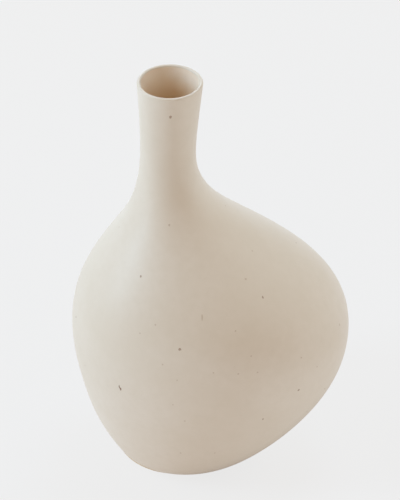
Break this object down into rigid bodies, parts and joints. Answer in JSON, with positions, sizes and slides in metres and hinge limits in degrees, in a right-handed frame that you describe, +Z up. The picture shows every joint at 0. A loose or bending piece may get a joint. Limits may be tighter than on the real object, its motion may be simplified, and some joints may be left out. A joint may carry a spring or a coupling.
{
  "type": "stoneware bottle vase",
  "caption": "Stoneware vase with a narrow waisted neck over an oval body that bulges to one side; speckled satin glaze outside, waterproof liner inside, bare foot ring.",
  "frame": {"origin": "centre of the foot ring, in the plane that the vase stands on", "axes": "+Z up through the mouth, +X towards the bulge of the body, +Y towards the back"},
  "size_m": [0.1898, 0.1544, 0.3],
  "materials": {
    "bare_clay": "unglazed buff stoneware, fine sandy grain",
    "body_clay": "vitrified buff stoneware under glaze",
    "slip": "fired slip of the same clay, matt",
    "liner_glaze": "thin warm liner glaze, soft gloss",
    "outer_glaze": "satin-matt cream glaze with sparse iron-brown specks"
  },
  "bodies": {
    "root": {"foot_ring": "bare_clay", "base_slab": "bare_clay", "lower_bowl": "body_clay", "upper_bowl": "body_clay", "neck": "body_clay", "lip_coil": "body_clay", "luting_slip": "slip", "liner_glaze": "liner_glaze", "outer_glaze": "outer_glaze"}
  },
  "joints": []
}
